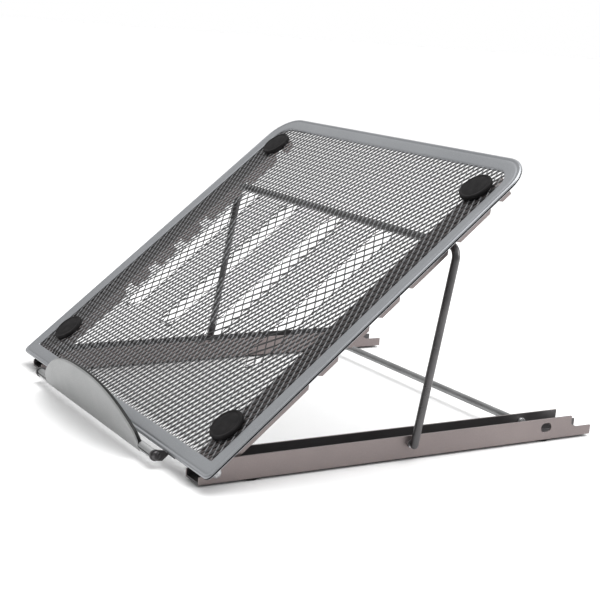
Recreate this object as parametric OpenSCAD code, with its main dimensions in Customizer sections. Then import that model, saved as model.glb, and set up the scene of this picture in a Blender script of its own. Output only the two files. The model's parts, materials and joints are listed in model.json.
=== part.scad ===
// Folding laptop stand: a tilting mesh platform on two channel rails, held up
// by a wire bail that drops into notched rails, with a folding front stop.
// X runs across the stand, +Y runs from the front stop to the back, +Z is up.
// The origin is on the table, under the middle of the stand.

/* [Platform] */
// Width of the platform frame
platform_w = 300; // [290:1:310]
// Depth of the platform frame, measured along its slope
platform_d = 281; // [276:1:286]
// Slope of the platform from the table
platform_slope = 39.7; // [38.5:0.1:41]
// Width of the frame band at the front and the sides
band_w = 10.5; // [9:0.5:11]
// Width of the frame band at the back
rear_band_w = 12; // [10:0.5:14]
// Thickness of the frame band
band_t = 2.6; // [2.4:0.1:2.8]
// Corner radius at the back of the frame
rear_corner_r = 23; // [18:1:26]
// Corner radius at the front of the frame
front_corner_r = 4; // [3:0.5:6]
// Thickness of the mesh sheet
mesh_t = 1; // [0.8:0.1:1.2]

/* [Notched rails] */
// Thickness of the angle section
angle_t = 1.2; // [1:0.1:1.3]
// Width of one notch
notch_w = 8; // [7:0.5:9]
// Length of the angle section along the slope
angle_l = 265; // [262:1:267]

/* [Base rails] */
// Width of one channel rail over its walls
channel_w = 17; // [16:0.5:18]
// Height of the channel walls
channel_h = 14.3; // [13.5:0.1:14.4]
// Thickness of the channel sheet
channel_t = 1.2; // [1:0.1:1.3]
// Where the low tab at the back of a rail ends
rail_end_y = 304; // [298:1:310]

/* [Support bail] */
// Diameter of the bail wire
bail_d = 5.2; // [5:0.1:5.4]
// Inside bend radius of the bail corners
bail_bend_r = 5.4; // [4:0.2:6]

/* [Front stop] */
// Half width of the arched plate
stop_half_w = 76; // [70:1:85]
// Height of the arch above the knuckle
stop_h = 31; // [26:1:34]
// Height of the plate at its two ends
stop_end_h = 8; // [5:1:11]
// Lean of the plate forward of upright
stop_lean = 15.8; // [12:0.2:20]

/* [Pads and feet] */
// Diameter of the platform pads
pad_d = 22.5; // [20:0.5:24]
// Height of the platform pads
pad_h = 3; // [2.5:0.1:3.5]
// Diameter of the rubber feet
foot_d = 16; // [14:0.5:17]
// How far the feet stand proud of the rails
foot_proud = 1.8; // [1.5:0.1:2.5]

/* [Hidden] */
$fn = 64;

// A small overshoot that lets cutters pass clean through
cut = 1;

// Hinge between the platform and the base rails
hinge_y = 14;
hinge_z = 6;
hinge_r = 2;
hinge_gap = 0.06;
// The same hinge axis seen from the platform's front top edge
hinge_v = 9.1;
hinge_n = -11;
platform_y = hinge_y - hinge_v * cos(platform_slope) + hinge_n * sin(platform_slope);
platform_z = hinge_z - hinge_v * sin(platform_slope) - hinge_n * cos(platform_slope);

// Channel rails
rail_x = 127.5;
wall_out_x = rail_x + channel_w / 2;
wall_in_x = rail_x - channel_w / 2;
rail_start_y = 3;
nose_h = 4.5;
ramp_end_y = 24;
step_y = 286;
step_h = 8.6;
tab_y = 290.7;
tab_h = 6.3;

// Notched rails: an angle section under each side of the mesh
angle_out_x = 133.4;
angle_in_x = 121;
angle_start_v = 4.7;
flange_low_n = -15.4;
flange_nose_r = 4.4;
notch_top_n = -9.6;
notch_v = [89, 114, 141, 168, 211.5, 251];
tooth_bevel = 2;
mesh_top_n = -0.8;
mesh_low_n = mesh_top_n - mesh_t;
angle_top_n = mesh_low_n;

// Frame opening
open_x = platform_w / 2 - band_w;
open_end_v = platform_d - rear_band_w;

// Support bail, resting in the fifth notch
bail_r = bail_d / 2;
bail_v = 211.5;
bail_n = notch_top_n - bail_r - 0.3;
bail_y = platform_y + bail_v * cos(platform_slope) - bail_n * sin(platform_slope);
bail_z = platform_z + bail_v * sin(platform_slope) + bail_n * cos(platform_slope);
bail_pivot_y = 151;
bail_pivot_z = 9.2;
bail_leg = sqrt(pow(bail_y - bail_pivot_y, 2) + pow(bail_z - bail_pivot_z, 2));
bail_lean = -atan2(bail_y - bail_pivot_y, bail_z - bail_pivot_z);
bail_gap = 0.3;
bail_x = wall_out_x + 1 + bail_r;
bend_r = bail_bend_r + bail_r;

// Rear brace rod
brace_y = 254.5;
brace_z = 8;
brace_r = 2.6;

// Slot near the back of each rail
slot_y = 263.5;
slot_z = 8.2;
slot_h = 6.3;
slot_w = 9;

// Front stop
knuckle_v = -6.3;
knuckle_n = 2;
knuckle_r = 2.8;
knuckle_half = 95;
stop_wire_r = 2;
stop_wire_gap = 0.08;
stop_wire_head_r = 2.9;
stop_wire_head_l = 1.7;
ear_gap = 0.3;
ear_t = 1.6;
ear_r = 3.4;
ear_tab_w = 10;
ear_tab_v = 9;
ear_tab_t = 1.2;
stop_t = 1.2;
hem_t = 2.4;
hem_w = 3.4;
arch_power = 2.56;
arch_steps = 38;
arch_end_round = 2;

// Pads and feet
pad_x = 124.5;
pad_front_v = 33;
pad_rear_v = 250;
foot_front_y = 39;
foot_rear_y = 264;
foot_stem_r = 3;

// The box runs from the hem of the stop to the rail ends
stop_y = platform_y + knuckle_v * cos(platform_slope) - knuckle_n * sin(platform_slope);
stop_z = platform_z + knuckle_v * sin(platform_slope) + knuckle_n * cos(platform_slope);
front_y = stop_y - knuckle_r * cos(stop_lean) - stop_h * sin(stop_lean);
middle_y = (front_y + rail_end_y) / 2;

frame_colour = [0.57, 0.58, 0.60];
rail_colour = [0.50, 0.46, 0.45];
mesh_colour = [0.42, 0.42, 0.44];
wire_colour = [0.27, 0.26, 0.27];
rod_colour = [0.44, 0.44, 0.45];
stop_colour = [0.65, 0.66, 0.66];
steel_colour = [0.70, 0.70, 0.72];
rubber_colour = [0.12, 0.12, 0.12];

// ---- placing -------------------------------------------------------------

// Moves pieces laid out from the frame's front edge to the shared origin
module stand() {
    translate([0, -middle_y, foot_proud]) children();
}

// Local axes: X across, Y up the slope, Z square to the platform
module on_platform() {
    stand() translate([0, platform_y, platform_z]) rotate([platform_slope, 0, 0]) children();
}

// Local -Z runs down the bail's legs from the crossbar
module on_bail() {
    stand() translate([0, bail_y, bail_z]) rotate([bail_lean, 0, 0]) children();
}

// Local +Z runs up the front stop from its knuckle
module on_stop() {
    stand() translate([0, stop_y, stop_z]) rotate([stop_lean, 0, 0]) children();
}

module left_of() {
    mirror([1, 0, 0]) children();
}

// A rod along X between two places
module rod_x(from_x, to_x, r) {
    translate([from_x, 0, 0]) rotate([0, 90, 0]) cylinder(r = r, h = to_x - from_x);
}

// A quarter ring that starts along X and ends along -Z
module wire_bend(r, bend) {
    translate([0, 0, -bend]) rotate([90, 0, 0]) rotate_extrude(angle = 90)
        translate([bend, 0]) circle(r = r);
}

// ---- base ----------------------------------------------------------------

// Side outline of a channel rail, y across and z up
module rail_outline() {
    polygon([
        [rail_start_y, 0], [rail_end_y, 0], [rail_end_y, tab_h], [tab_y, tab_h],
        [step_y, step_h], [step_y, channel_h], [ramp_end_y, channel_h], [rail_start_y, nose_h]
    ]);
}

// Extrudes an outline drawn in y and z along X
module along_x(from_x, to_x) {
    translate([from_x, 0, 0]) rotate([90, 0, 90]) linear_extrude(to_x - from_x) children();
}

module channel_inside() {
    translate([wall_in_x + channel_t, rail_start_y - cut, channel_t])
        cube([channel_w - 2 * channel_t, rail_end_y - rail_start_y + 2 * cut, channel_h]);
}

// Round-ended slot through the outer wall
module rail_slot() {
    along_x(rail_x, wall_out_x + cut) {
        for (side = [-1, 1])
            translate([slot_y + side * (slot_w - slot_h) / 2, slot_z]) circle(d = slot_h);
        translate([slot_y, slot_z]) square([slot_w - slot_h, slot_h], center = true);
    }
}

module base_rail() {
    difference() {
        along_x(wall_in_x, wall_out_x) rail_outline();
        channel_inside();
        rail_slot();
        translate([0, hinge_y, hinge_z]) rod_x(rail_x, wall_out_x + cut, hinge_r + hinge_gap);
        translate([0, bail_pivot_y, bail_pivot_z]) rod_x(rail_x, wall_out_x + cut, bail_r + 0.1);
        translate([0, brace_y, brace_z]) rod_x(wall_in_x - cut, rail_x, brace_r + 0.1);
        for (y = [foot_front_y, foot_rear_y])
            translate([rail_x, y, -cut]) cylinder(r = foot_stem_r + 0.1, h = channel_t + 2 * cut);
    }
}

module base_rail_right() {
    color(rail_colour) stand() base_rail();
}

module base_rail_left() {
    color(rail_colour) left_of() stand() base_rail();
}

module rear_brace_rod() {
    color(rod_colour) stand() translate([0, brace_y, brace_z])
        rod_x(-wall_in_x - 3.4, wall_in_x + 3.4, brace_r);
}

// Push-on nut that holds the rod's end inside the channel
module brace_nut() {
    stand() translate([0, brace_y, brace_z]) difference() {
        rod_x(wall_in_x + channel_t, wall_in_x + channel_t + 1.2, 3.5);
        rod_x(wall_in_x, wall_in_x + channel_t + 2 * cut, brace_r + 0.02);
    }
}

module brace_nut_right() {
    color(steel_colour) brace_nut();
}

module brace_nut_left() {
    color(steel_colour) left_of() brace_nut();
}

// Rubber foot: a chamfered disc below the rail and a barbed stem through it
module foot(y) {
    edge = 0.5;
    stand() translate([rail_x, y, 0]) rotate_extrude() polygon([
        [0, -foot_proud], [foot_d / 2 - edge, -foot_proud], [foot_d / 2, edge - foot_proud],
        [foot_d / 2, 0], [foot_stem_r, 0], [foot_stem_r, channel_t], [foot_stem_r + 1.2, channel_t],
        [foot_stem_r, channel_t + 1.4], [0, channel_t + 1.4]
    ]);
}

module foot_front_right() {
    color(rubber_colour) foot(foot_front_y);
}

module foot_front_left() {
    color(rubber_colour) left_of() foot(foot_front_y);
}

module foot_rear_right() {
    color(rubber_colour) foot(foot_rear_y);
}

module foot_rear_left() {
    color(rubber_colour) left_of() foot(foot_rear_y);
}

// Rivet through the channel's outer wall and the notched rail's nose
module hinge_rivet() {
    flange_in_x = angle_out_x - angle_t;
    stand() translate([0, hinge_y, hinge_z]) {
        rod_x(flange_in_x - 0.2, wall_out_x, hinge_r);
        rod_x(flange_in_x - 1.4, flange_in_x - 0.2, 3.2);
        translate([wall_out_x, 0, 0]) rotate([0, 90, 0]) rotate_extrude()
            polygon([[0, 0], [3.1, 0], [2.9, 0.5], [2.1, 0.9], [0, 1.1]]);
    }
}

module hinge_rivet_right() {
    color(steel_colour) hinge_rivet();
}

module hinge_rivet_left() {
    color(steel_colour) left_of() hinge_rivet();
}

// Washer that keeps the notched rail off the channel wall
module hinge_spacer() {
    wall_x = wall_out_x - channel_t;
    stand() translate([0, hinge_y, hinge_z]) difference() {
        rod_x(angle_out_x + 0.2, wall_x, 3.6);
        rod_x(angle_out_x - cut, wall_x + cut, hinge_r + hinge_gap);
    }
}

module hinge_spacer_right() {
    color(steel_colour) hinge_spacer();
}

module hinge_spacer_left() {
    color(steel_colour) left_of() hinge_spacer();
}

// Short pin that the bail's leg turns on, held by a collar inside the channel
module bail_pivot_pin() {
    wall_x = wall_out_x - channel_t;
    stand() translate([0, bail_pivot_y, bail_pivot_z]) {
        rod_x(wall_x - 0.8, wall_out_x + 1 - bail_gap, bail_r);
        rod_x(wall_x - 0.8, wall_x, bail_r + 1.6);
    }
}

module bail_pivot_pin_right() {
    color(steel_colour) bail_pivot_pin();
}

module bail_pivot_pin_left() {
    color(steel_colour) left_of() bail_pivot_pin();
}

// ---- platform ------------------------------------------------------------

// Frame outline, x across and y up the slope
module frame_outline() {
    half = platform_w / 2;
    translate([-half, front_corner_r])
        square([platform_w, platform_d - front_corner_r - rear_corner_r]);
    translate([front_corner_r - half, 0]) square([platform_w - 2 * front_corner_r, band_w]);
    translate([rear_corner_r - half, platform_d - rear_corner_r - cut])
        square([platform_w - 2 * rear_corner_r, rear_corner_r + cut]);
    for (side = [-1, 1]) {
        translate([side * (half - front_corner_r), front_corner_r]) circle(r = front_corner_r);
        translate([side * (half - rear_corner_r), platform_d - rear_corner_r]) circle(r = rear_corner_r);
    }
}

// Opening inside the frame band, which the mesh sheet fills
module opening_outline() {
    inner_r = rear_corner_r - band_w;
    translate([-open_x, band_w]) square([2 * open_x, open_end_v - band_w - inner_r]);
    translate([inner_r - open_x, band_w]) square([2 * (open_x - inner_r), open_end_v - band_w]);
    for (side = [-1, 1])
        translate([side * (open_x - inner_r), open_end_v - inner_r]) circle(r = inner_r);
}

module platform_frame() {
    color(frame_colour) on_platform() difference() {
        translate([0, 0, -band_t]) linear_extrude(band_t) frame_outline();
        translate([0, 0, -band_t - cut]) linear_extrude(band_t + 2 * cut) opening_outline();
    }
}

module mesh_panel() {
    color(mesh_colour) on_platform() translate([0, 0, mesh_low_n])
        linear_extrude(mesh_t) opening_outline();
}

// Flange of the notched rail, y up the slope and z square to the platform
module flange_outline() {
    difference() {
        union() {
            translate([hinge_v, flange_low_n]) square([angle_l - hinge_v, -band_t - flange_low_n]);
            translate([band_w, -band_t - cut]) square([angle_l - band_w, angle_top_n + band_t + cut]);
            translate([angle_start_v, hinge_n]) square([flange_nose_r + cut, -band_t - hinge_n]);
            translate([hinge_v, hinge_n]) circle(r = flange_nose_r);
        }
        for (v = notch_v) notch_outline(v);
        translate([hinge_v, hinge_n]) circle(r = hinge_r + hinge_gap);
    }
}

// One notch: square at the top, with bevelled corners at its mouth
module notch_outline(v) {
    half = notch_w / 2;
    mouth = half + tooth_bevel;
    shoulder_n = flange_low_n + tooth_bevel;
    polygon([
        [v - mouth, flange_low_n - cut], [v - mouth, flange_low_n], [v - half, shoulder_n],
        [v - half, notch_top_n], [v + half, notch_top_n],
        [v + half, shoulder_n], [v + mouth, flange_low_n], [v + mouth, flange_low_n - cut]
    ]);
}

module notched_rail() {
    shelf_end_v = open_end_v - rear_corner_r + band_w;
    on_platform() {
        along_x(angle_out_x - angle_t, angle_out_x) flange_outline();
        translate([angle_in_x, band_w, angle_top_n - angle_t])
            cube([open_x - angle_in_x, shelf_end_v - band_w, angle_t]);
    }
}

module notched_rail_right() {
    color(rail_colour) notched_rail();
}

module notched_rail_left() {
    color(rail_colour) left_of() notched_rail();
}

// Round rubber pad with a softened rim, stuck on the mesh
module pad(v) {
    rim = 0.7;
    on_platform() translate([pad_x, v, mesh_top_n]) rotate_extrude() polygon([
        [0, 0], [pad_d / 2, 0], [pad_d / 2, pad_h - rim], [pad_d / 2 - rim, pad_h],
        [pad_d / 2 - 2 * rim, pad_h], [pad_d / 2 - 3 * rim, pad_h - rim / 2], [0, pad_h - rim / 2]
    ]);
}

module pad_front_right() {
    color(rubber_colour) pad(pad_front_v);
}

module pad_front_left() {
    color(rubber_colour) left_of() pad(pad_front_v);
}

module pad_rear_right() {
    color(rubber_colour) pad(pad_rear_v);
}

module pad_rear_left() {
    color(rubber_colour) left_of() pad(pad_rear_v);
}

// Bracket outline, y up the slope and z square to the platform
module ear_outline() {
    low_n = -band_t - ear_tab_t;
    difference() {
        union() {
            translate([knuckle_v, knuckle_n]) circle(r = ear_r);
            polygon([
                [knuckle_v - ear_r * 0.9, knuckle_n - ear_r * 0.4], [knuckle_v + 1, low_n],
                [ear_tab_v, low_n], [ear_tab_v, -band_t], [-0.1, -band_t], [-0.1, -0.2],
                [knuckle_v + ear_r * 0.9, knuckle_n + ear_r * 0.4]
            ]);
        }
        translate([knuckle_v, knuckle_n]) circle(r = stop_wire_r + 0.02);
    }
}

// Bracket that carries one end of the stop's wire: an ear in front of the frame
// and a tab under its front band
module stop_bracket() {
    ear_x = knuckle_half + ear_gap;
    on_platform() {
        along_x(ear_x, ear_x + ear_t) ear_outline();
        translate([ear_x, 0, -band_t - ear_tab_t]) cube([ear_tab_w, ear_tab_v, ear_tab_t]);
    }
}

module stop_bracket_right() {
    color(wire_colour) stop_bracket();
}

module stop_bracket_left() {
    color(wire_colour) left_of() stop_bracket();
}

// Wire through the stop's knuckle, with a domed head outside each bracket
module stop_wire_head() {
    dome = 0.5;
    rotate([0, 90, 0]) rotate_extrude() polygon([
        [0, 0], [stop_wire_head_r, 0], [stop_wire_head_r, stop_wire_head_l - 2 * dome],
        [stop_wire_head_r - dome, stop_wire_head_l - dome],
        [stop_wire_head_r - 3 * dome, stop_wire_head_l], [0, stop_wire_head_l]
    ]);
}

module stop_hinge_wire() {
    head_x = knuckle_half + ear_gap + ear_t;
    color(wire_colour) on_platform() translate([0, knuckle_v, knuckle_n]) {
        rod_x(-head_x, head_x, stop_wire_r);
        translate([head_x, 0, 0]) stop_wire_head();
        translate([-head_x, 0, 0]) mirror([1, 0, 0]) stop_wire_head();
    }
}

// ---- support bail --------------------------------------------------------

module bail_half() {
    rod_x(0, bail_x - bend_r, bail_r);
    translate([bail_x - bend_r, 0, 0]) wire_bend(bail_r, bend_r);
    translate([bail_x, 0, -bail_leg]) cylinder(r = bail_r, h = bail_leg - bend_r);
    translate([bail_x, 0, -bail_leg]) sphere(r = bail_r);
}

module support_bail() {
    color(wire_colour) on_bail() {
        bail_half();
        mirror([1, 0, 0]) bail_half();
    }
}

// ---- front stop ----------------------------------------------------------

// Height of the arched edge at a place across the stop
function arch(x) = stop_end_h + (stop_h - stop_end_h) * (1 - pow(abs(x) / stop_half_w, arch_power));

// Arched outline, x across and y up the plate
module arch_outline() {
    step = 2 * stop_half_w / arch_steps;
    foot_x = stop_half_w + arch_end_round;
    edge = [for (i = [0 : arch_steps]) let (x = -stop_half_w + i * step) [x, arch(x)]];
    polygon(concat([[-foot_x, 0], [-foot_x, stop_end_h - arch_end_round]], edge,
        [[foot_x, stop_end_h - arch_end_round], [foot_x, 0]]));
}

module front_stop() {
    plate_y = -knuckle_r;
    color(stop_colour) on_stop() difference() {
        union() {
            translate([0, plate_y + stop_t, 0]) rotate([90, 0, 0]) linear_extrude(stop_t)
                arch_outline();
            translate([0, plate_y + hem_t, 0]) rotate([90, 0, 0]) linear_extrude(hem_t) difference() {
                arch_outline();
                translate([0, -hem_w]) arch_outline();
            }
            rod_x(-knuckle_half, knuckle_half, knuckle_r);
        }
        rod_x(-knuckle_half - cut, knuckle_half + cut, stop_wire_r + stop_wire_gap);
    }
}

// ---- the pieces ----------------------------------------------------------

base_rail_right();
base_rail_left();
rear_brace_rod();
brace_nut_right();
brace_nut_left();
foot_front_right();
foot_front_left();
foot_rear_right();
foot_rear_left();
hinge_rivet_right();
hinge_rivet_left();
hinge_spacer_right();
hinge_spacer_left();
bail_pivot_pin_right();
bail_pivot_pin_left();
platform_frame();
mesh_panel();
notched_rail_right();
notched_rail_left();
pad_front_right();
pad_front_left();
pad_rear_right();
pad_rear_left();
stop_hinge_wire();
stop_bracket_right();
stop_bracket_left();
support_bail();
front_stop();
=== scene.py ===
import json
import math
from collections import namedtuple

import bpy
from mathutils import Matrix, Vector


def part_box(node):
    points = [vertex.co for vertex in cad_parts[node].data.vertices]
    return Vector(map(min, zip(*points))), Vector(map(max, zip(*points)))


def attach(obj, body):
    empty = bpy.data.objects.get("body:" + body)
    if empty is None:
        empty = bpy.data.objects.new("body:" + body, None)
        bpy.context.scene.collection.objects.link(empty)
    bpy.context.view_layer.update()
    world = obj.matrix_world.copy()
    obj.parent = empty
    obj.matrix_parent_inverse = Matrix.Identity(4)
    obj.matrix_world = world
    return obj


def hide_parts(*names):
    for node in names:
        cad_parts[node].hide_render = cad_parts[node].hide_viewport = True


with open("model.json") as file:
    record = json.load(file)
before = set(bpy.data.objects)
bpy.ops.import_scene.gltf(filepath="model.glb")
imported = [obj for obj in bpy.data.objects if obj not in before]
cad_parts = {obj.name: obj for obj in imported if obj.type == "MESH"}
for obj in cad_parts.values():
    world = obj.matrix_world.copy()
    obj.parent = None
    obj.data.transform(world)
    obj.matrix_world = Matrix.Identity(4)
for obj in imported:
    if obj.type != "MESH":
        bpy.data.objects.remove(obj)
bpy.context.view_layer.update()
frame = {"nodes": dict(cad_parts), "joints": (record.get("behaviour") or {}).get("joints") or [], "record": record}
scene = bpy.context.scene

# Sizes and places are in millimetres, and this turns them into Blender's metres. Only the
# camera's and the lamps' are in metres already.
MM = 0.001
# The name of the number that says which faces of a piece take its finish's second colour, which paints light or
# shade on them
MARK = "painted_light_faces"

# ---- camera -------------------------------------------------------------------

# Its turn about the stand, its height and its roll, in degrees
VIEW_AZIMUTH = 57.97
VIEW_ELEVATION = 11.64
VIEW_ROLL = 4.19
# Its distance from the point that it looks at, and that point, in metres
VIEW_DISTANCE = 0.845
VIEW_AIM = Vector((0.0512, -0.0287, 0.0864))
VIEW_LENS = 77.5
VIEW_SENSOR = 36


def make_camera():
    azimuth = math.radians(VIEW_AZIMUTH)
    elevation = math.radians(VIEW_ELEVATION)
    roll = math.radians(VIEW_ROLL)
    back = Vector((
        math.sin(azimuth) * math.cos(elevation),
        -math.cos(azimuth) * math.cos(elevation),
        math.sin(elevation),
    ))
    level_right = Vector((math.cos(azimuth), math.sin(azimuth), 0))
    level_up = back.cross(level_right)
    right = level_right * math.cos(roll) + level_up * math.sin(roll)
    up = level_up * math.cos(roll) - level_right * math.sin(roll)
    lens = bpy.data.cameras.new("camera")
    lens.lens = VIEW_LENS
    lens.sensor_width = VIEW_SENSOR
    camera = bpy.data.objects.new("camera", lens)
    scene.collection.objects.link(camera)
    turn = Matrix((right, up, back)).transposed().to_4x4()
    camera.matrix_world = Matrix.Translation(VIEW_AIM + back * VIEW_DISTANCE) @ turn
    scene.camera = camera


# ---- places taken from the frame ------------------------------------------------

RECORD = frame["record"]
JOINTS = {joint["name"]: joint for joint in frame["joints"]}
MOUNTS = {mount["name"]: mount for mount in RECORD["mounts"]}

# The platform's slope, depth, thickness and front top edge, from its mount and its box
SQUARE_UP = Vector(MOUNTS["laptop_rest"]["axis"])
SLOPE_SIN = -SQUARE_UP.y
SLOPE_COS = SQUARE_UP.z
frame_low, frame_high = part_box("platform_frame")
frame_rise = (frame_high.z - frame_low.z) / MM
frame_run = (frame_high.y - frame_low.y) / MM
SPREAD = SLOPE_COS**2 - SLOPE_SIN**2
PLATFORM_D = (frame_run * SLOPE_COS - frame_rise * SLOPE_SIN) / SPREAD
BAND_T = (frame_rise * SLOPE_COS - frame_run * SLOPE_SIN) / SPREAD
PLATFORM_W = (frame_high.x - frame_low.x) / MM
EDGE_Y = frame_low.y / MM
EDGE_Z = frame_high.z / MM - PLATFORM_D * SLOPE_SIN

# A base rail's wall, its centre plane across the stand, and the clear half width inside it
RAIL_WALL = 1.2
rail_low, rail_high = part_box("base_rail_right")
RAIL_X = (rail_low.x + rail_high.x) / 2 / MM
CHANNEL_CLEAR = (rail_high.x - rail_low.x) / 2 / MM - RAIL_WALL


def on_platform(x, v, n):
    """A place on the platform: x across, v up the slope, n square to it."""
    y = EDGE_Y + v * SLOPE_COS - n * SLOPE_SIN
    z = EDGE_Z + v * SLOPE_SIN + n * SLOPE_COS
    return Vector((x, y, z))


def up_slope(place):
    """How far up the platform's slope a place is from its front edge."""
    return (place.y - EDGE_Y) * SLOPE_COS + (place.z - EDGE_Z) * SLOPE_SIN


# ---- building meshes --------------------------------------------------------------


def make_piece(name, verts, faces, material, smooth_deg=35):
    """A mesh object from places in millimetres, smooth but for edges above an angle."""
    mesh = bpy.data.meshes.new(name)
    mesh.from_pydata([Vector(v) * MM for v in verts], [], faces)
    mesh.validate()
    mesh.update()
    mesh.shade_smooth()
    mesh.set_sharp_from_angle(angle=math.radians(smooth_deg))
    mesh.materials.append(material)
    piece = bpy.data.objects.new(name, mesh)
    scene.collection.objects.link(piece)
    return piece


def mark_painted_light_faces(piece, holds):
    """Marks the faces of a piece for which holds(index) is true, where its finish paints light or shade."""
    marks = piece.data.attributes.new(MARK, "FLOAT", "FACE")
    for index, mark in enumerate(marks.data):
        mark.value = 1.0 if holds(index) else 0.0


def dress(piece, body, node):
    """Puts a finished piece on its body in place of the CAD node that it stands for."""
    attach(piece, body)
    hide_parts(node)


class Shell:
    """Collects the places and faces of one or more skins."""

    def __init__(self):
        self.verts = []
        self.faces = []

    def add(self, rings, closed_path=False, flip=False):
        """Adds a skin over rings of equal length, with flat ends where its path is open."""
        start = len(self.verts)
        count = len(rings[0])
        for ring in rings:
            self.verts.extend(ring)
        steps = len(rings) if closed_path else len(rings) - 1
        for i in range(steps):
            here = start + i * count
            there = start + ((i + 1) % len(rings)) * count
            for k in range(count):
                nxt = (k + 1) % count
                self.face((here + k, here + nxt, there + nxt, there + k), flip)
        if not closed_path:
            last = start + (len(rings) - 1) * count
            self.face(tuple(start + k for k in reversed(range(count))), flip)
            self.face(tuple(last + k for k in range(count)), flip)

    def face(self, corners, flip):
        self.faces.append(tuple(reversed(corners)) if flip else corners)


def arc(centre, r, from_deg, to_deg, steps):
    """Points on an arc of a circle, in two dimensions."""
    turns = [math.radians(from_deg + (to_deg - from_deg) * i / steps) for i in range(steps + 1)]
    return [(centre[0] + r * math.cos(t), centre[1] + r * math.sin(t)) for t in turns]


# ---- materials -------------------------------------------------------------------

# Noise spends most of its area between these values
NOISE_LOW = 0.3
NOISE_HIGH = 0.7


class Nodes:
    """A material's node tree with short calls for the nodes that the finishes use."""

    def __init__(self, name):
        self.material = bpy.data.materials.new(name)
        self.material.use_nodes = True
        self.tree = self.material.node_tree
        self.shader = self.tree.nodes["Principled BSDF"]
        self.place = self.tree.nodes.new("ShaderNodeTexCoord").outputs["Object"]

    def link(self, source, target):
        self.tree.links.new(source, target)

    def noise(self, grain_mm, detail, stretch=None):
        """Noise whose features are about grain_mm across."""
        node = self.tree.nodes.new("ShaderNodeTexNoise")
        node.inputs["Scale"].default_value = 1 / (grain_mm * MM)
        node.inputs["Detail"].default_value = detail
        source = self.place
        if stretch:
            mapping = self.tree.nodes.new("ShaderNodeMapping")
            mapping.inputs["Scale"].default_value = stretch
            self.link(source, mapping.inputs["Vector"])
            source = mapping.outputs["Vector"]
        self.link(source, node.inputs["Vector"])
        return node.outputs["Fac"]

    def spread(self, source, from_low, from_high, low=0, high=1):
        """Runs from low to high as source runs from from_low to from_high."""
        node = self.tree.nodes.new("ShaderNodeMapRange")
        node.inputs["From Min"].default_value = from_low
        node.inputs["From Max"].default_value = from_high
        node.inputs["To Min"].default_value = low
        node.inputs["To Max"].default_value = high
        self.link(source, node.inputs["Value"])
        return node.outputs["Result"]

    def between(self, noise, low, high):
        """A number that drifts between low and high with a noise."""
        return self.spread(noise, NOISE_LOW, NOISE_HIGH, low, high)

    def mix(self, factor, first, second):
        """Mixes two colours; each is a colour or another node's output."""
        node = self.tree.nodes.new("ShaderNodeMix")
        node.data_type = "RGBA"
        self.link(factor, node.inputs["Factor"])
        for colour, socket in ((first, node.inputs["A"]), (second, node.inputs["B"])):
            if isinstance(colour, tuple):
                socket.default_value = (*colour, 1)
            else:
                self.link(colour, socket)
        return node.outputs["Result"]

    def arithmetic(self, operation, *values):
        """One step of arithmetic; each value is a number or another node's output."""
        node = self.tree.nodes.new("ShaderNodeMath")
        node.operation = operation
        for value, socket in zip(values, node.inputs):
            if isinstance(value, float):
                socket.default_value = value
            else:
                self.link(value, socket)
        return node.outputs["Value"]

    def bump(self, height, depth_mm, below=None):
        """Normals of a height in millimetres, laid over other normals where they are given."""
        node = self.tree.nodes.new("ShaderNodeBump")
        node.inputs["Strength"].default_value = 1
        node.inputs["Distance"].default_value = depth_mm * MM
        self.link(height, node.inputs["Height"])
        if below is not None:
            self.link(below, node.inputs["Normal"])
        return node.outputs["Normal"]

    def eased(self, radius_mm):
        """Normals that round off every edge by this radius."""
        node = self.tree.nodes.new("ShaderNodeBevel")
        node.inputs["Radius"].default_value = radius_mm * MM
        return node.outputs["Normal"]

    def edges(self, low, high):
        """Rises towards 1 on convex edges."""
        geometry = self.tree.nodes.new("ShaderNodeNewGeometry")
        return self.spread(geometry.outputs["Pointiness"], low, high)

    def painted_light_mask(self):
        """1 on the faces where a piece's finish paints light or shade, 0 on its others."""
        node = self.tree.nodes.new("ShaderNodeAttribute")
        node.attribute_name = MARK
        return node.outputs["Fac"]

    def channel_shade_mask(self):
        """1 on the faces between the two walls of a base rail, where shade is painted, 0 outside them."""
        in_wall = CHANNEL_CLEAR + 0.2
        fade = 0.1
        apart = self.tree.nodes.new("ShaderNodeSeparateXYZ")
        self.link(self.place, apart.inputs["Vector"])
        across = self.arithmetic("ABSOLUTE", apart.outputs["X"])
        from_centre = self.arithmetic("SUBTRACT", across, RAIL_X * MM)
        off_centre = self.arithmetic("ABSOLUTE", from_centre)
        return self.spread(off_centre, (in_wall + fade) * MM, (in_wall - fade) * MM)


def paler(colour, times):
    return tuple(times * part for part in colour)


def powder_coat(name, pale, deep, metallic, gloss, grain_mm=0.7, ease_mm=None, painted_light_patch=None):
    """Satin paint on steel: orange peel, slow colour drift, flecks and rubbed edges.

    With ease_mm, the edges are rounded in the shading and aren't rubbed. The patch argument
    paints light or shade: a function from the nodes to a mask, and the painted colour inside it.
    """
    bare_metal = (0.42, 0.42, 0.43)
    n = Nodes(name)
    drift = n.spread(n.noise(60, 2), 0.36, 0.64)
    flecks = n.spread(n.noise(0.5, 2), 0.56, 0.80)
    colour = n.mix(flecks, n.mix(drift, deep, pale), paler(pale, 1.35))
    if not ease_mm:
        rubbed = n.arithmetic(
            "MULTIPLY", n.edges(0.53, 0.60), n.spread(n.noise(3, 4), 0.48, 0.66))
        colour = n.mix(rubbed, colour, bare_metal)
    if painted_light_patch:
        mask, painted_light_colour = painted_light_patch
        colour = n.mix(mask(n), colour, painted_light_colour)
    roughness = n.between(n.noise(12, 3), gloss - 0.03, gloss + 0.04)
    rounding = n.eased(ease_mm) if ease_mm else None
    peel = n.bump(n.noise(grain_mm, 3), 0.006, rounding)
    waves = n.bump(n.noise(20, 2), 0.02, peel)
    n.link(colour, n.shader.inputs["Base Color"])
    n.link(roughness, n.shader.inputs["Roughness"])
    n.link(waves, n.shader.inputs["Normal"])
    n.shader.inputs["Metallic"].default_value = metallic
    return n.material


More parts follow.
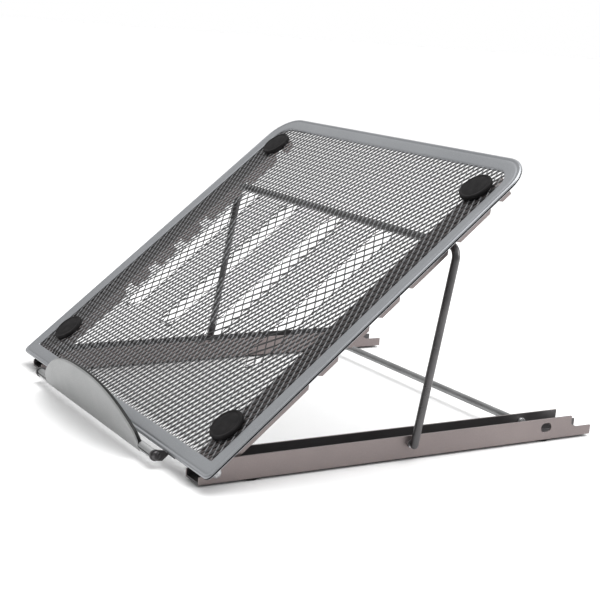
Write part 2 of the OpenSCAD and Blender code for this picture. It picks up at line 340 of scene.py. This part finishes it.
def coated_wire(name, pale, deep, gloss):
    """Semi-gloss coat on drawn wire, with rubbed spots and faint lengthwise draw lines."""
    n = Nodes(name)
    drift = n.spread(n.noise(22, 3), 0.35, 0.65)
    rubbed = n.spread(n.noise(2.2, 5), 0.66, 0.78)
    colour = n.mix(rubbed, n.mix(drift, deep, pale), paler(pale, 1.6))
    draw_lines = n.bump(n.noise(0.9, 3, stretch=(1, 1, 0.08)), 0.010)
    n.link(colour, n.shader.inputs["Base Color"])
    n.link(n.between(n.noise(5, 4), gloss - 0.05, gloss + 0.06), n.shader.inputs["Roughness"])
    n.link(draw_lines, n.shader.inputs["Normal"])
    n.shader.inputs["Metallic"].default_value = 0.8
    return n.material


def zinc(name):
    """Bright plated steel with a cloudy grain."""
    deep = (0.42, 0.42, 0.43)
    pale = (0.60, 0.60, 0.61)
    n = Nodes(name)
    clouds = n.spread(n.noise(1.5, 4), 0.38, 0.62)
    n.link(n.mix(clouds, deep, pale), n.shader.inputs["Base Color"])
    n.link(n.between(n.noise(0.8, 4), 0.28, 0.45), n.shader.inputs["Roughness"])
    n.link(n.bump(n.noise(0.35, 4), 0.008), n.shader.inputs["Normal"])
    n.shader.inputs["Metallic"].default_value = 1
    return n.material


def rubber(name):
    """Matte moulded rubber with a fine tooth and a little dust."""
    deep = (0.006, 0.0055, 0.006)
    pale = (0.011, 0.010, 0.0105)
    dust_colour = (0.024, 0.023, 0.023)
    n = Nodes(name)
    drift = n.spread(n.noise(7, 4), 0.35, 0.65)
    dust = n.spread(n.noise(0.5, 5), 0.62, 0.80)
    n.link(n.mix(dust, n.mix(drift, deep, pale), dust_colour), n.shader.inputs["Base Color"])
    n.link(n.between(n.noise(4, 3), 0.62, 0.80), n.shader.inputs["Roughness"])
    tooth = n.bump(n.noise(0.45, 2), 0.05)
    n.link(n.bump(n.noise(3, 2), 0.03, tooth), n.shader.inputs["Normal"])
    n.shader.inputs["Specular IOR Level"].default_value = 0.2
    return n.material


RAIL_PALE = (0.240, 0.205, 0.200)
RAIL_DEEP = (0.215, 0.183, 0.180)

# The record's slots, and the channel finish, which is rail_paint with shade painted inside the channel
FINISHES = {
    # frame_paint's second colour is shade painted into the seam in the rolled rim
    "frame_paint": powder_coat(
        "frame_paint", pale=(0.330, 0.340, 0.356), deep=(0.300, 0.310, 0.326),
        metallic=0.75, gloss=0.36, painted_light_patch=(Nodes.painted_light_mask, (0.020, 0.020, 0.021))),
    "rail_paint": powder_coat(
        "rail_paint", RAIL_PALE, RAIL_DEEP, metallic=0.70, gloss=0.40, ease_mm=0.3),
    "channel_painted_shade": powder_coat(
        "channel_painted_shade", RAIL_PALE, RAIL_DEEP, metallic=0.70, gloss=0.40, ease_mm=0.3,
        painted_light_patch=(Nodes.channel_shade_mask, (0.095, 0.090, 0.092))),
    # mesh_paint is dark; its paler second colour on the fine mesh's narrow strands is painted light
    "mesh_paint": powder_coat(
        "mesh_paint", pale=(0.022, 0.022, 0.023), deep=(0.015, 0.015, 0.016),
        metallic=0.20, gloss=0.36, grain_mm=0.5, painted_light_patch=(Nodes.painted_light_mask, (0.22, 0.223, 0.232))),
    # stop_paint's second colour is shade painted along the back of the hem's fold
    "stop_paint": powder_coat(
        "stop_paint", pale=(0.350, 0.355, 0.355), deep=(0.315, 0.320, 0.320),
        metallic=0.60, gloss=0.42, painted_light_patch=(Nodes.painted_light_mask, (0.008, 0.008, 0.008))),
    "dark_wire": coated_wire(
        "dark_wire", pale=(0.130, 0.126, 0.128), deep=(0.090, 0.087, 0.089), gloss=0.30),
    # grey_wire is the wire coat made paler as painted light, for the extra light that a level wire catches from
    # above
    "grey_wire": coated_wire(
        "grey_wire", pale=(0.290, 0.292, 0.294), deep=(0.230, 0.232, 0.234), gloss=0.38),
    "zinc_steel": zinc("zinc_steel"),
    "rubber": rubber("rubber"),
}


# ---- carried-over CAD nodes ----------------------------------------------------------

# Width of the rounding on the edges of moulded and plated parts, by slot
EASED_EDGES = {"rubber": 0.3, "zinc_steel": 0.15}
EASE_SEGMENTS = 2
EASE_ABOVE = math.radians(40)
WELD_WITHIN = 0.001


def finish_cad_nodes():
    """Gives every CAD node its finish, and rounds the edges of moulded and plated ones."""
    for part in RECORD["subparts"]:
        slot = part["material_slot"]
        node = frame["nodes"][part["node"]]
        is_channel = part["node"].startswith("base_rail")
        node.data.materials.clear()
        # Base rails take the channel finish, which has shade painted inside the channel
        node.data.materials.append(FINISHES["channel_painted_shade" if is_channel else slot])
        if slot in EASED_EDGES:
            weld = node.modifiers.new("weld", "WELD")
            weld.merge_threshold = WELD_WITHIN * MM
            bevel = node.modifiers.new("ease", "BEVEL")
            bevel.width = EASED_EDGES[slot] * MM
            bevel.segments = EASE_SEGMENTS
            bevel.limit_method = "ANGLE"
            bevel.angle_limit = EASE_ABOVE


# ---- platform frame --------------------------------------------------------------------

BAND_W = 10.5
REAR_BAND_W = 12
FRONT_CORNER_R = 4
REAR_CORNER_R = 23
OPENING_CORNER_R = 1
# How far the rolled rim stands over the band, and how deep the seam in its side is
ROLL_PROUD = 0.2
SEAM_DEPTH = 0.75
# The groove beside the rim, as distances in from the rim and heights over the band
RIM_GROOVE = [(4.6, 0), (3.7, -0.04), (3.2, -0.22), (2.85, -0.28), (2.5, -0.18)]


def outline(half_w, front_v, rear_v, front_r, rear_r, steps=14):
    """Rounded outline of the frame, counter-clockwise from its front left corner."""
    corners = (
        ((-half_w + front_r, front_v + front_r), front_r, 180),
        ((half_w - front_r, front_v + front_r), front_r, 270),
        ((half_w - rear_r, rear_v - rear_r), rear_r, 0),
        ((-half_w + rear_r, rear_v - rear_r), rear_r, 90),
    )
    return [p for centre, r, turn in corners for p in arc(centre, r, turn, turn + 90, steps)]


def rolled_rim():
    """Section of the rim: the roll over its seam, the sunk seam and the roll under it."""
    r = (BAND_T + ROLL_PROUD) / 2
    centre = (r, r - BAND_T)
    over = arc(centre, r, 60, 166, 8)
    seam = arc(centre, r - SEAM_DEPTH, 170, 200, 3)
    under = arc(centre, r, 204, 270, 5)
    return over, seam, under


def opening_edge(span):
    """Section of the turned-down edge along the opening, span in from the rim."""
    return [
        (span - 1.2, -BAND_T), (span - 0.3, -BAND_T + 0.2), (span, -BAND_T + 0.6),
        (span, -0.75), (span - 0.25, -0.3), (span - 0.75, -0.08), (span - 1.4, 0)]


def platform_frame():
    """Band with a raised rolled rim, a groove beside it and a turned-down inner edge."""
    half = PLATFORM_W / 2
    outer = outline(half, 0, PLATFORM_D, FRONT_CORNER_R, REAR_CORNER_R)
    inner = outline(
        half - BAND_W, BAND_W, PLATFORM_D - REAR_BAND_W, OPENING_CORNER_R,
        REAR_CORNER_R - BAND_W)
    over, seam, under = rolled_rim()
    rings = []
    for (outer_x, outer_v), (inner_x, inner_v) in zip(outer, inner):
        rim = Vector((outer_x, outer_v))
        across = Vector((inner_x, inner_v)) - rim
        span = across.length
        inward = across / span
        ring = []
        for inset, n in over + seam + under + opening_edge(span) + RIM_GROOVE:
            at = rim + inward * inset
            ring.append(on_platform(at.x, at.y, n))
        rings.append(ring)
    shell = Shell()
    shell.add(rings, closed_path=True)
    piece = make_piece(
        "platform_frame_band", shell.verts, shell.faces, FINISHES["frame_paint"], 50)
    around = len(rings[0])
    # Shade is painted on the seam's faces, from the last point over the seam to the first point under it
    shaded_seam_faces = range(len(over) - 1, len(over) + len(seam))
    mark_painted_light_faces(piece, lambda face: face % around in shaded_seam_faces)
    dress(piece, "platform", "platform_frame")


# ---- expanded mesh ---------------------------------------------------------------------

# The width and depth of a mesh's cells, the widths of its strands and how far they tilt.
# The strands that lean right going up the slope are wide, and the others are narrow.
MeshKind = namedtuple("MeshKind", "cell_w cell_d wide narrow tilt")
FINE_MESH = MeshKind(cell_w=4.69, cell_d=8.78, wide=1.6, narrow=0.75, tilt=0.12)
WINDOW_MESH = MeshKind(cell_w=9.4, cell_d=8.8, wide=1.3, narrow=0.7, tilt=0.08)
STRAND_T = 0.3
MESH_MID_N = -1.1
# Faces that one strand has in a cell: its top, its underside and its inner side
STRAND_FACES = 3
# How far outside its own area the middle of a cell may be
CELL_MARGIN = 1.5
# Four windows side by side, each with round ends
WINDOW_X = (-87, -29, 29, 87)
WINDOW_W = 16
WINDOW_FROM_V = 74
WINDOW_TO_V = 200


def window_depth(x, v):
    """How far inside the nearest round-ended window a place is."""
    r = WINDOW_W / 2
    along = min(max(v, WINDOW_FROM_V + r), WINDOW_TO_V - r)
    return max(r - math.hypot(x - centre, v - along) for centre in WINDOW_X)


def opening_depth(x, v):
    """How far inside the frame's opening a place is."""
    half = PLATFORM_W / 2 - BAND_W
    r = REAR_CORNER_R - BAND_W
    rear = PLATFORM_D - REAR_BAND_W
    depth = min(half - abs(x), v - BAND_W, rear - v)
    corner_x = abs(x) - (half - r)
    corner_v = v - (rear - r)
    if corner_x > 0 and corner_v > 0:
        depth = min(depth, r - math.hypot(corner_x, corner_v))
    return depth


def cell_middles(kind, keep):
    """Middles of the diamonds of one kind of mesh for which keep(x, v) holds."""
    rows = int(PLATFORM_D / (kind.cell_d / 2)) + 2
    columns = int(PLATFORM_W / 2 / kind.cell_w) + 2
    for row in range(rows):
        offset = kind.cell_w / 2 if row % 2 else 0
        for column in range(-columns, columns + 1):
            x = column * kind.cell_w + offset
            v = row * kind.cell_d / 2
            if keep(x, v):
                yield x, v


def add_mesh(shell, kind, keep):
    """Slit and stretched sheet: one open diamond in each cell, its strands a little tilted.

    The quarters of a cell's rim alternate between narrow and wide strands, narrow first.
    """
    half_w = kind.cell_w / 2
    half_d = kind.cell_d / 2
    pitch = 2 * half_w * half_d / math.hypot(half_w, half_d)
    open_wide = 1 - kind.wide / pitch
    open_narrow = 1 - kind.narrow / pitch
    mean = (open_wide + open_narrow) / 2
    skew = (open_narrow - open_wide) / 2
    corners = ((1, 0), (0, 1), (-1, 0), (0, -1))
    shared = {}

    def corner(x, v, side):
        key = (round(x / half_w), round(v / half_d), side)
        if key not in shared:
            shared[key] = len(shell.verts)
            shell.verts.append(on_platform(x, v, MESH_MID_N + side * STRAND_T / 2))
        return shared[key]

    for x, v in cell_middles(kind, keep):
        outer = {}
        rim = {}
        for side in (-1, 1):
            outer[side] = [corner(x + cx * half_w, v + cv * half_d, side) for cx, cv in corners]
            first = len(shell.verts)
            for cx, cv in corners:
                rim_x = x + half_w * (cx * mean + cv * skew)
                rim_v = v + half_d * (cv * mean + cx * skew)
                lift = kind.tilt * cx + side * STRAND_T / 2
                shell.verts.append(on_platform(rim_x, rim_v, MESH_MID_N + lift))
            rim[side] = [first + k for k in range(4)]
        for k in range(4):
            nxt = (k + 1) % 4
            shell.faces.append((outer[1][k], outer[1][nxt], rim[1][nxt], rim[1][k]))
            shell.faces.append((outer[-1][nxt], outer[-1][k], rim[-1][k], rim[-1][nxt]))
            shell.faces.append((rim[1][k], rim[1][nxt], rim[-1][nxt], rim[-1][k]))


def mesh_panel():
    """Fine mesh over the frame's opening, with coarser mesh in four windows."""
    shell = Shell()
    add_mesh(
        shell, FINE_MESH,
        lambda x, v: opening_depth(x, v) > -CELL_MARGIN and window_depth(x, v) < 0)
    fine_faces = len(shell.faces)
    add_mesh(shell, WINDOW_MESH, lambda x, v: window_depth(x, v) > -CELL_MARGIN)
    piece = make_piece(
        "expanded_mesh_panel", shell.verts, shell.faces, FINISHES["mesh_paint"], 30)
    # The fine mesh's narrow strands are painted paler, as painted light on a lit copy of the coat
    mark_painted_light_faces(piece, lambda face: face < fine_faces and face // STRAND_FACES % 2 == 0)
    dress(piece, "platform", "mesh_panel")


# ---- rubber pads --------------------------------------------------------------------------

PAD_H = 3
PAD_BASE_N = -0.8
PAD_CHAMFER = 0.4
PAD_ROUND = 0.9


def lathe(profile, place, steps=72):
    """Turns a profile of (radius, height) pairs round an axis and places each point."""
    turns = [2 * math.pi * i / steps for i in range(steps)]
    shell = Shell()
    shell.add([[place(r * math.cos(t), r * math.sin(t), h) for t in turns] for r, h in profile])
    return shell


def pad_profile(r):
    """Half section of a pad: eased foot, rounded rim, shallow groove and domed middle."""
    foot = [(r - PAD_CHAMFER, 0), (r, PAD_CHAMFER)]
    rim = [(r - PAD_ROUND + PAD_ROUND * math.cos(t), PAD_H - PAD_ROUND + PAD_ROUND * math.sin(t))
           for t in [math.radians(turn) for turn in (0, 20, 40, 60, 75, 90)]]
    groove = [
        (r - 1.5, PAD_H - 0.02), (r - 1.9, PAD_H - 0.25),
        (r - 2.5, PAD_H - 0.3), (r - 3.0, PAD_H - 0.18)]
    middle = [(r * 0.4, PAD_H - 0.05), (0.05, PAD_H)]
    return foot + rim + groove + middle


def pads():
    """One pad near each corner of the platform, where its CAD node is."""
    for row in ("front", "rear"):
        for side in ("right", "left"):
            node = f"pad_{row}_{side}"
            low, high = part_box(node)
            r = (high.x - low.x) / 2 / MM
            middle = (low + high) / 2 / MM
            v = up_slope(middle)
            shell = lathe(
                pad_profile(r),
                lambda x, y, h: on_platform(middle.x + x, v + y, PAD_BASE_N + h))
            piece = make_piece(
                f"rubber_pad_{row}_{side}", shell.verts, shell.faces, FINISHES["rubber"], 50)
            dress(piece, "platform", node)


# ---- front stop ----------------------------------------------------------------------------

STOP_LEAN = math.radians(15.8)
STOP_HALF_W = 76
STOP_H = 31
STOP_END_H = 8
STOP_END_ROUND = 4
ARCH_POWER = 2.56
STOP_T = 1.2
# How far the middle of the plate bulges forwards where it is tallest
PLATE_BOW = 0.8
# Thickness and width of the hem folded over behind the plate's arched edge
HEM_T = 3.4
HEM_W = 3.4
# Steps in the plate's front, in the fold over its edge, and from its middle to each end
FRONT_STEPS = 8
CAP_STEPS = 8
HALF_STEPS = 40
# The lip of painted shade starts this many steps into the fold, and ends this many after it
LIP_FROM = 3
LIP_TO = 3
KNUCKLE_R = 2.8
KNUCKLE_WALL = 0.7
KNUCKLE_HALF_W = 95
# The knuckle is an open tube, and its gap is what these angles leave of a full turn
KNUCKLE_TURN = (175, 515)
KNUCKLE_STEPS = 40
# It narrows to this share of its radius over this length at each end
KNUCKLE_EASE = 0.25
KNUCKLE_END_SHRINK = 0.95


def stop_height(x):
    """Height of the arched edge over the knuckle's axis."""
    inside = min(abs(x), STOP_HALF_W)
    height = STOP_END_H + (STOP_H - STOP_END_H) * (1 - (inside / STOP_HALF_W) ** ARCH_POWER)
    into_end = abs(x) - (STOP_HALF_W - STOP_END_ROUND / 2)
    if into_end > 0:
        height *= math.sqrt(max(0.0, 1 - (into_end / STOP_END_ROUND) ** 2))
    return height


def on_stop(x, back, up):
    """A place on the front stop: across it, behind its knuckle's axis and up its plate."""
    axis = Vector(JOINTS["stop_fold"]["pos_m"]) / MM
    y = back * math.cos(STOP_LEAN) - up * math.sin(STOP_LEAN)
    z = back * math.sin(STOP_LEAN) + up * math.cos(STOP_LEAN)
    return axis + Vector((x, y, z))


def stop_section(height):
    """Section of the plate at one height: its front, the fold over its edge, and its back."""
    front = -KNUCKLE_R
    plate_back = front + STOP_T
    hem_r = min(HEM_T / 2, height / 2)
    hem_back = front + 2 * hem_r
    hem_low = max(height - HEM_W, 0.2)
    top = height - hem_r
    bow = PLATE_BOW * height / STOP_H
    foot = [(front + 0.7, -2.65), (front + 0.25, -2.2), (front + 0.05, -1.5)]
    belly = [(front - bow * 4 * t * (1 - t), top * t)
             for t in [i / FRONT_STEPS for i in range(FRONT_STEPS)]]
    cap = arc((front + hem_r, top), hem_r, 180, 0, CAP_STEPS)
    behind = [
        (hem_back, hem_low + 0.4), (hem_back - 0.3, hem_low), (plate_back + 0.05, hem_low),
        (plate_back, hem_low - 0.15), (plate_back, 0.1), (plate_back - 0.2, -0.6)]
    return foot + belly, cap, behind


def add_knuckle(shell):
    """Adds the open tube that is rolled along the stop's foot, a little smaller at its ends."""
    turn_from, turn_to = KNUCKLE_TURN
    outer = arc((0, 0), KNUCKLE_R, turn_from, turn_to, KNUCKLE_STEPS)
    inner = arc((0, 0), KNUCKLE_R - KNUCKLE_WALL, turn_to, turn_from, KNUCKLE_STEPS)
    full_from = KNUCKLE_HALF_W - KNUCKLE_EASE
    stations = (
        (-KNUCKLE_HALF_W, KNUCKLE_END_SHRINK), (-full_from, 1),
        (full_from, 1), (KNUCKLE_HALF_W, KNUCKLE_END_SHRINK))
    rings = []
    for x, shrink in stations:
        outside = [on_stop(x, back * shrink, up * shrink) for back, up in outer]
        rings.append(outside + [on_stop(x, back, up) for back, up in inner])
    shell.add(rings)


def front_stop():
    """Arched plate with a hemmed edge, and the knuckle rolled along its foot."""
    # Just short of where the plate's height runs out
    last_x = STOP_HALF_W + STOP_END_ROUND / 2 - 0.05
    rings = []
    for i in range(-HALF_STEPS, HALF_STEPS + 1):
        x = last_x * math.sin(math.pi / 2 * i / HALF_STEPS)
        front, cap, behind = stop_section(stop_height(x))
        rings.append([on_stop(x, back, up) for back, up in front + cap + behind])
    shell = Shell()
    shell.add(rings, flip=True)
    add_knuckle(shell)
    piece = make_piece("front_stop_plate", shell.verts, shell.faces, FINISHES["stop_paint"], 40)
    around = len(rings[0])
    plate_faces = around * (len(rings) - 1)
    # Shade is painted on the lip at the back of the hem's fold
    shaded_lip_faces = range(len(front) + LIP_FROM, len(front) + CAP_STEPS + LIP_TO)
    mark_painted_light_faces(piece, lambda face: face < plate_faces and face % around in shaded_lip_faces)
    dress(piece, "stop", "front_stop")


# ---- floor and light -------------------------------------------------------------------------

# Half the side of the floor
FLOOR_HALF = 60000
PAPER_DEEP = (0.91, 0.91, 0.91)
PAPER_PALE = (0.93, 0.93, 0.93)
# Strength of the white behind the stand, as the camera sees it
BACKDROP = 1.0
# The light that the room gives runs from dark to bright towards its bright side
BRIGHT_SIDE = (-0.45, 0.35, 0.82)
ROOM_DARK = 0.12
ROOM_BRIGHT = 0.98
FADE_FROM = -0.55
FADE_TO = 0.75
# A broad sun from nearly overhead
GLOW_STRENGTH = 1.5
GLOW_ANGLE = math.radians(60)
GLOW_FROM = (0.1, 0.1, 1)


def paper_floor():
    """Matte white paper, large enough that its edge is out of sight."""
    verts = [(x * FLOOR_HALF, y * FLOOR_HALF, 0) for x, y in ((-1, -1), (1, -1), (1, 1), (-1, 1))]
    n = Nodes("white_paper")
    clouds = n.between(n.noise(400, 2), 0, 1)
    n.link(n.mix(clouds, PAPER_DEEP, PAPER_PALE), n.shader.inputs["Base Color"])
    n.shader.inputs["Roughness"].default_value = 0.9
    n.shader.inputs["Specular IOR Level"].default_value = 0.1
    make_piece("floor", verts, [(0, 1, 2, 3)], n.material)


def studio_room():
    """White to the camera, and to the object bright above and behind and darker in front."""
    world = bpy.data.worlds.new("studio")
    world.use_nodes = True
    scene.world = world
    nodes = world.node_tree.nodes
    link = world.node_tree.links.new
    white = nodes["Background"]
    white.inputs["Color"].default_value = (1, 1, 1, 1)
    white.inputs["Strength"].default_value = BACKDROP
    towards = nodes.new("ShaderNodeVectorMath")
    towards.operation = "DOT_PRODUCT"
    towards.inputs[1].default_value = BRIGHT_SIDE
    link(nodes.new("ShaderNodeTexCoord").outputs["Generated"], towards.inputs[0])
    fade = nodes.new("ShaderNodeMapRange")
    fade.inputs["From Min"].default_value = FADE_FROM
    fade.inputs["From Max"].default_value = FADE_TO
    fade.inputs["To Min"].default_value = ROOM_DARK
    fade.inputs["To Max"].default_value = ROOM_BRIGHT
    link(towards.outputs["Value"], fade.inputs["Value"])
    room = nodes.new("ShaderNodeBackground")
    link(fade.outputs["Result"], room.inputs["Strength"])
    seen = nodes.new("ShaderNodeMixShader")
    link(nodes.new("ShaderNodeLightPath").outputs["Is Camera Ray"], seen.inputs["Fac"])
    link(room.outputs["Background"], seen.inputs[1])
    link(white.outputs["Background"], seen.inputs[2])
    link(seen.outputs["Shader"], nodes["World Output"].inputs["Surface"])
    scene.view_settings.view_transform = "Standard"


def place_lamp(light):
    lamp = bpy.data.objects.new(light.name, light)
    scene.collection.objects.link(lamp)
    return lamp


def overhead_glow():
    """Very broad sun, which softens the shadows under the stand."""
    sun = bpy.data.lights.new("overhead_glow", "SUN")
    sun.energy = GLOW_STRENGTH
    sun.angle = GLOW_ANGLE
    lamp = place_lamp(sun)
    lamp.rotation_euler = Vector(GLOW_FROM).to_track_quat("Z", "Y").to_euler()


def softbox(name, at, aim, size, watts):
    """Round lamp that faces a point; its places and size are in metres."""
    light = bpy.data.lights.new(name, "AREA")
    light.shape = "DISK"
    light.size = size
    light.energy = watts
    lamp = place_lamp(light)
    lamp.location = at
    lamp.rotation_euler = (Vector(aim) - Vector(at)).to_track_quat("-Z", "Y").to_euler()


# ---- making the scene ------------------------------------------------------------------------

make_camera()
finish_cad_nodes()
platform_frame()
mesh_panel()
pads()
front_stop()
paper_floor()
studio_room()
overhead_glow()
softbox("softbox_top", at=(0.05, 0.35, 1.6), aim=(0, 0.05, 0.05), size=1.3, watts=9)
softbox("softbox_right", at=(0.95, 1.2, 0.8), aim=(0, 0, 0.1), size=0.9, watts=12)
